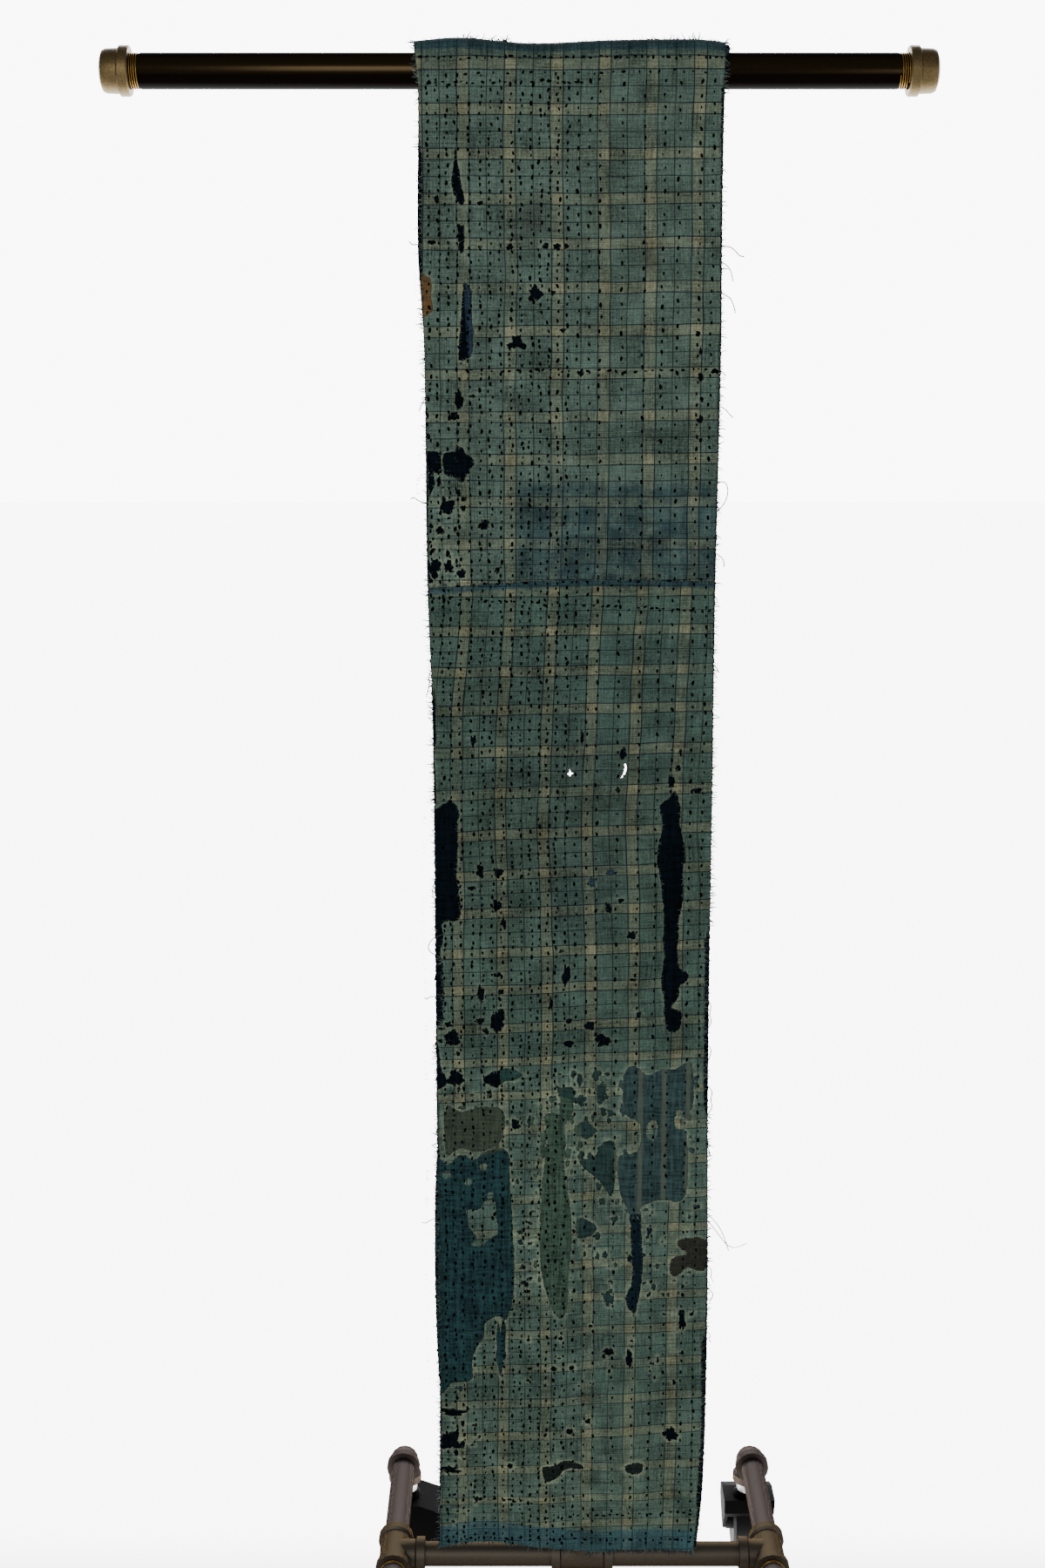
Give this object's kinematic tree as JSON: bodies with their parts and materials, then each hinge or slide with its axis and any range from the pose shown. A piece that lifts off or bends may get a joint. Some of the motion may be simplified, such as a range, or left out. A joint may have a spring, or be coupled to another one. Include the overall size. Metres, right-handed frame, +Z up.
{
  "type": "boro patched cloth on a pipe garment stand",
  "caption": "Long faded indigo plaid cotton cloth, patched and torn, hung face on over the bar of a T-shaped steel pipe stand on swivel casters.",
  "frame": {"origin": "on the floor below the middle of the bar", "axes": "+Z up along the upright, +X along the bar to the right, the cloth's face looks along -Y"},
  "size_m": [0.788, 0.5524, 1.7191],
  "materials": {
    "lacquered_pipe": "gloss black lacquer",
    "cast_fitting": "oiled cast malleable iron",
    "base_pipe": "oiled black steel",
    "zinc": "zinc plated",
    "caster_black": "black moulded",
    "wheel_black": "black tread",
    "plaid_upper": "faded handwoven cotton plaid",
    "plaid_lower": "faded handwoven cotton plaid, darned",
    "indigo_backing": "dark indigo cotton"
  },
  "bodies": {
    "stand": {"backing_upper": "indigo_backing", "backing_lower": "indigo_backing", "face_upper": "plaid_upper", "face_lower": "plaid_lower", "bar": "lacquered_pipe", "cap_left": "cast_fitting", "cap_right": "cast_fitting", "bar_tee": "cast_fitting", "post": "base_pipe", "base_tee": "base_pipe", "cross_left": "base_pipe", "cross_right": "base_pipe", "side_tee_left": "base_pipe", "side_tee_right": "base_pipe", "rail_back_left": "base_pipe", "elbow_back_left": "base_pipe", "stem_back_left": "zinc", "rail_back_right": "base_pipe", "elbow_back_right": "base_pipe", "stem_back_right": "zinc", "rail_front_left": "base_pipe", "elbow_front_left": "base_pipe", "stem_front_left": "zinc", "rail_front_right": "base_pipe", "elbow_front_right": "base_pipe", "stem_front_right": "zinc"},
    "caster_back_left": {"fork_back_left": "caster_black"},
    "roller_back_left": {"wheel_back_left": "wheel_black"},
    "caster_back_right": {"fork_back_right": "caster_black"},
    "roller_back_right": {"wheel_back_right": "wheel_black"},
    "caster_front_left": {"fork_front_left": "caster_black"},
    "roller_front_left": {"wheel_front_left": "wheel_black"},
    "caster_front_right": {"fork_front_right": "caster_black"},
    "roller_front_right": {"wheel_front_right": "wheel_black"}
  },
  "joints": [
    {"name": "swivel_back_left", "type": "hinge", "parent": "stand", "child": "caster_back_left", "pos_m": [-0.137, 0.212, 0.094], "axis": [0, 0, 1], "continuous": true},
    {"name": "roll_back_left", "type": "hinge", "parent": "caster_back_left", "child": "roller_back_left", "pos_m": [-0.11, 0.212, 0.03718], "axis": [0, -1, 0], "continuous": true},
    {"name": "swivel_back_right", "type": "hinge", "parent": "stand", "child": "caster_back_right", "pos_m": [0.273, 0.212, 0.094], "axis": [0, 0, 1], "continuous": true},
    {"name": "roll_back_right", "type": "hinge", "parent": "caster_back_right", "child": "roller_back_right", "pos_m": [0.273, 0.239, 0.03718], "axis": [1, 0, 0], "continuous": true},
    {"name": "swivel_front_left", "type": "hinge", "parent": "stand", "child": "caster_front_left", "pos_m": [-0.137, -0.212, 0.094], "axis": [0, 0, 1], "continuous": true},
    {"name": "roll_front_left", "type": "hinge", "parent": "caster_front_left", "child": "roller_front_left", "pos_m": [-0.137, -0.239, 0.03718], "axis": [-1, 0, 0], "continuous": true},
    {"name": "swivel_front_right", "type": "hinge", "parent": "stand", "child": "caster_front_right", "pos_m": [0.273, -0.212, 0.094], "axis": [0, 0, 1], "continuous": true},
    {"name": "roll_front_right", "type": "hinge", "parent": "caster_front_right", "child": "roller_front_right", "pos_m": [0.246, -0.212, 0.03718], "axis": [0, 1, 0], "continuous": true}
  ]
}
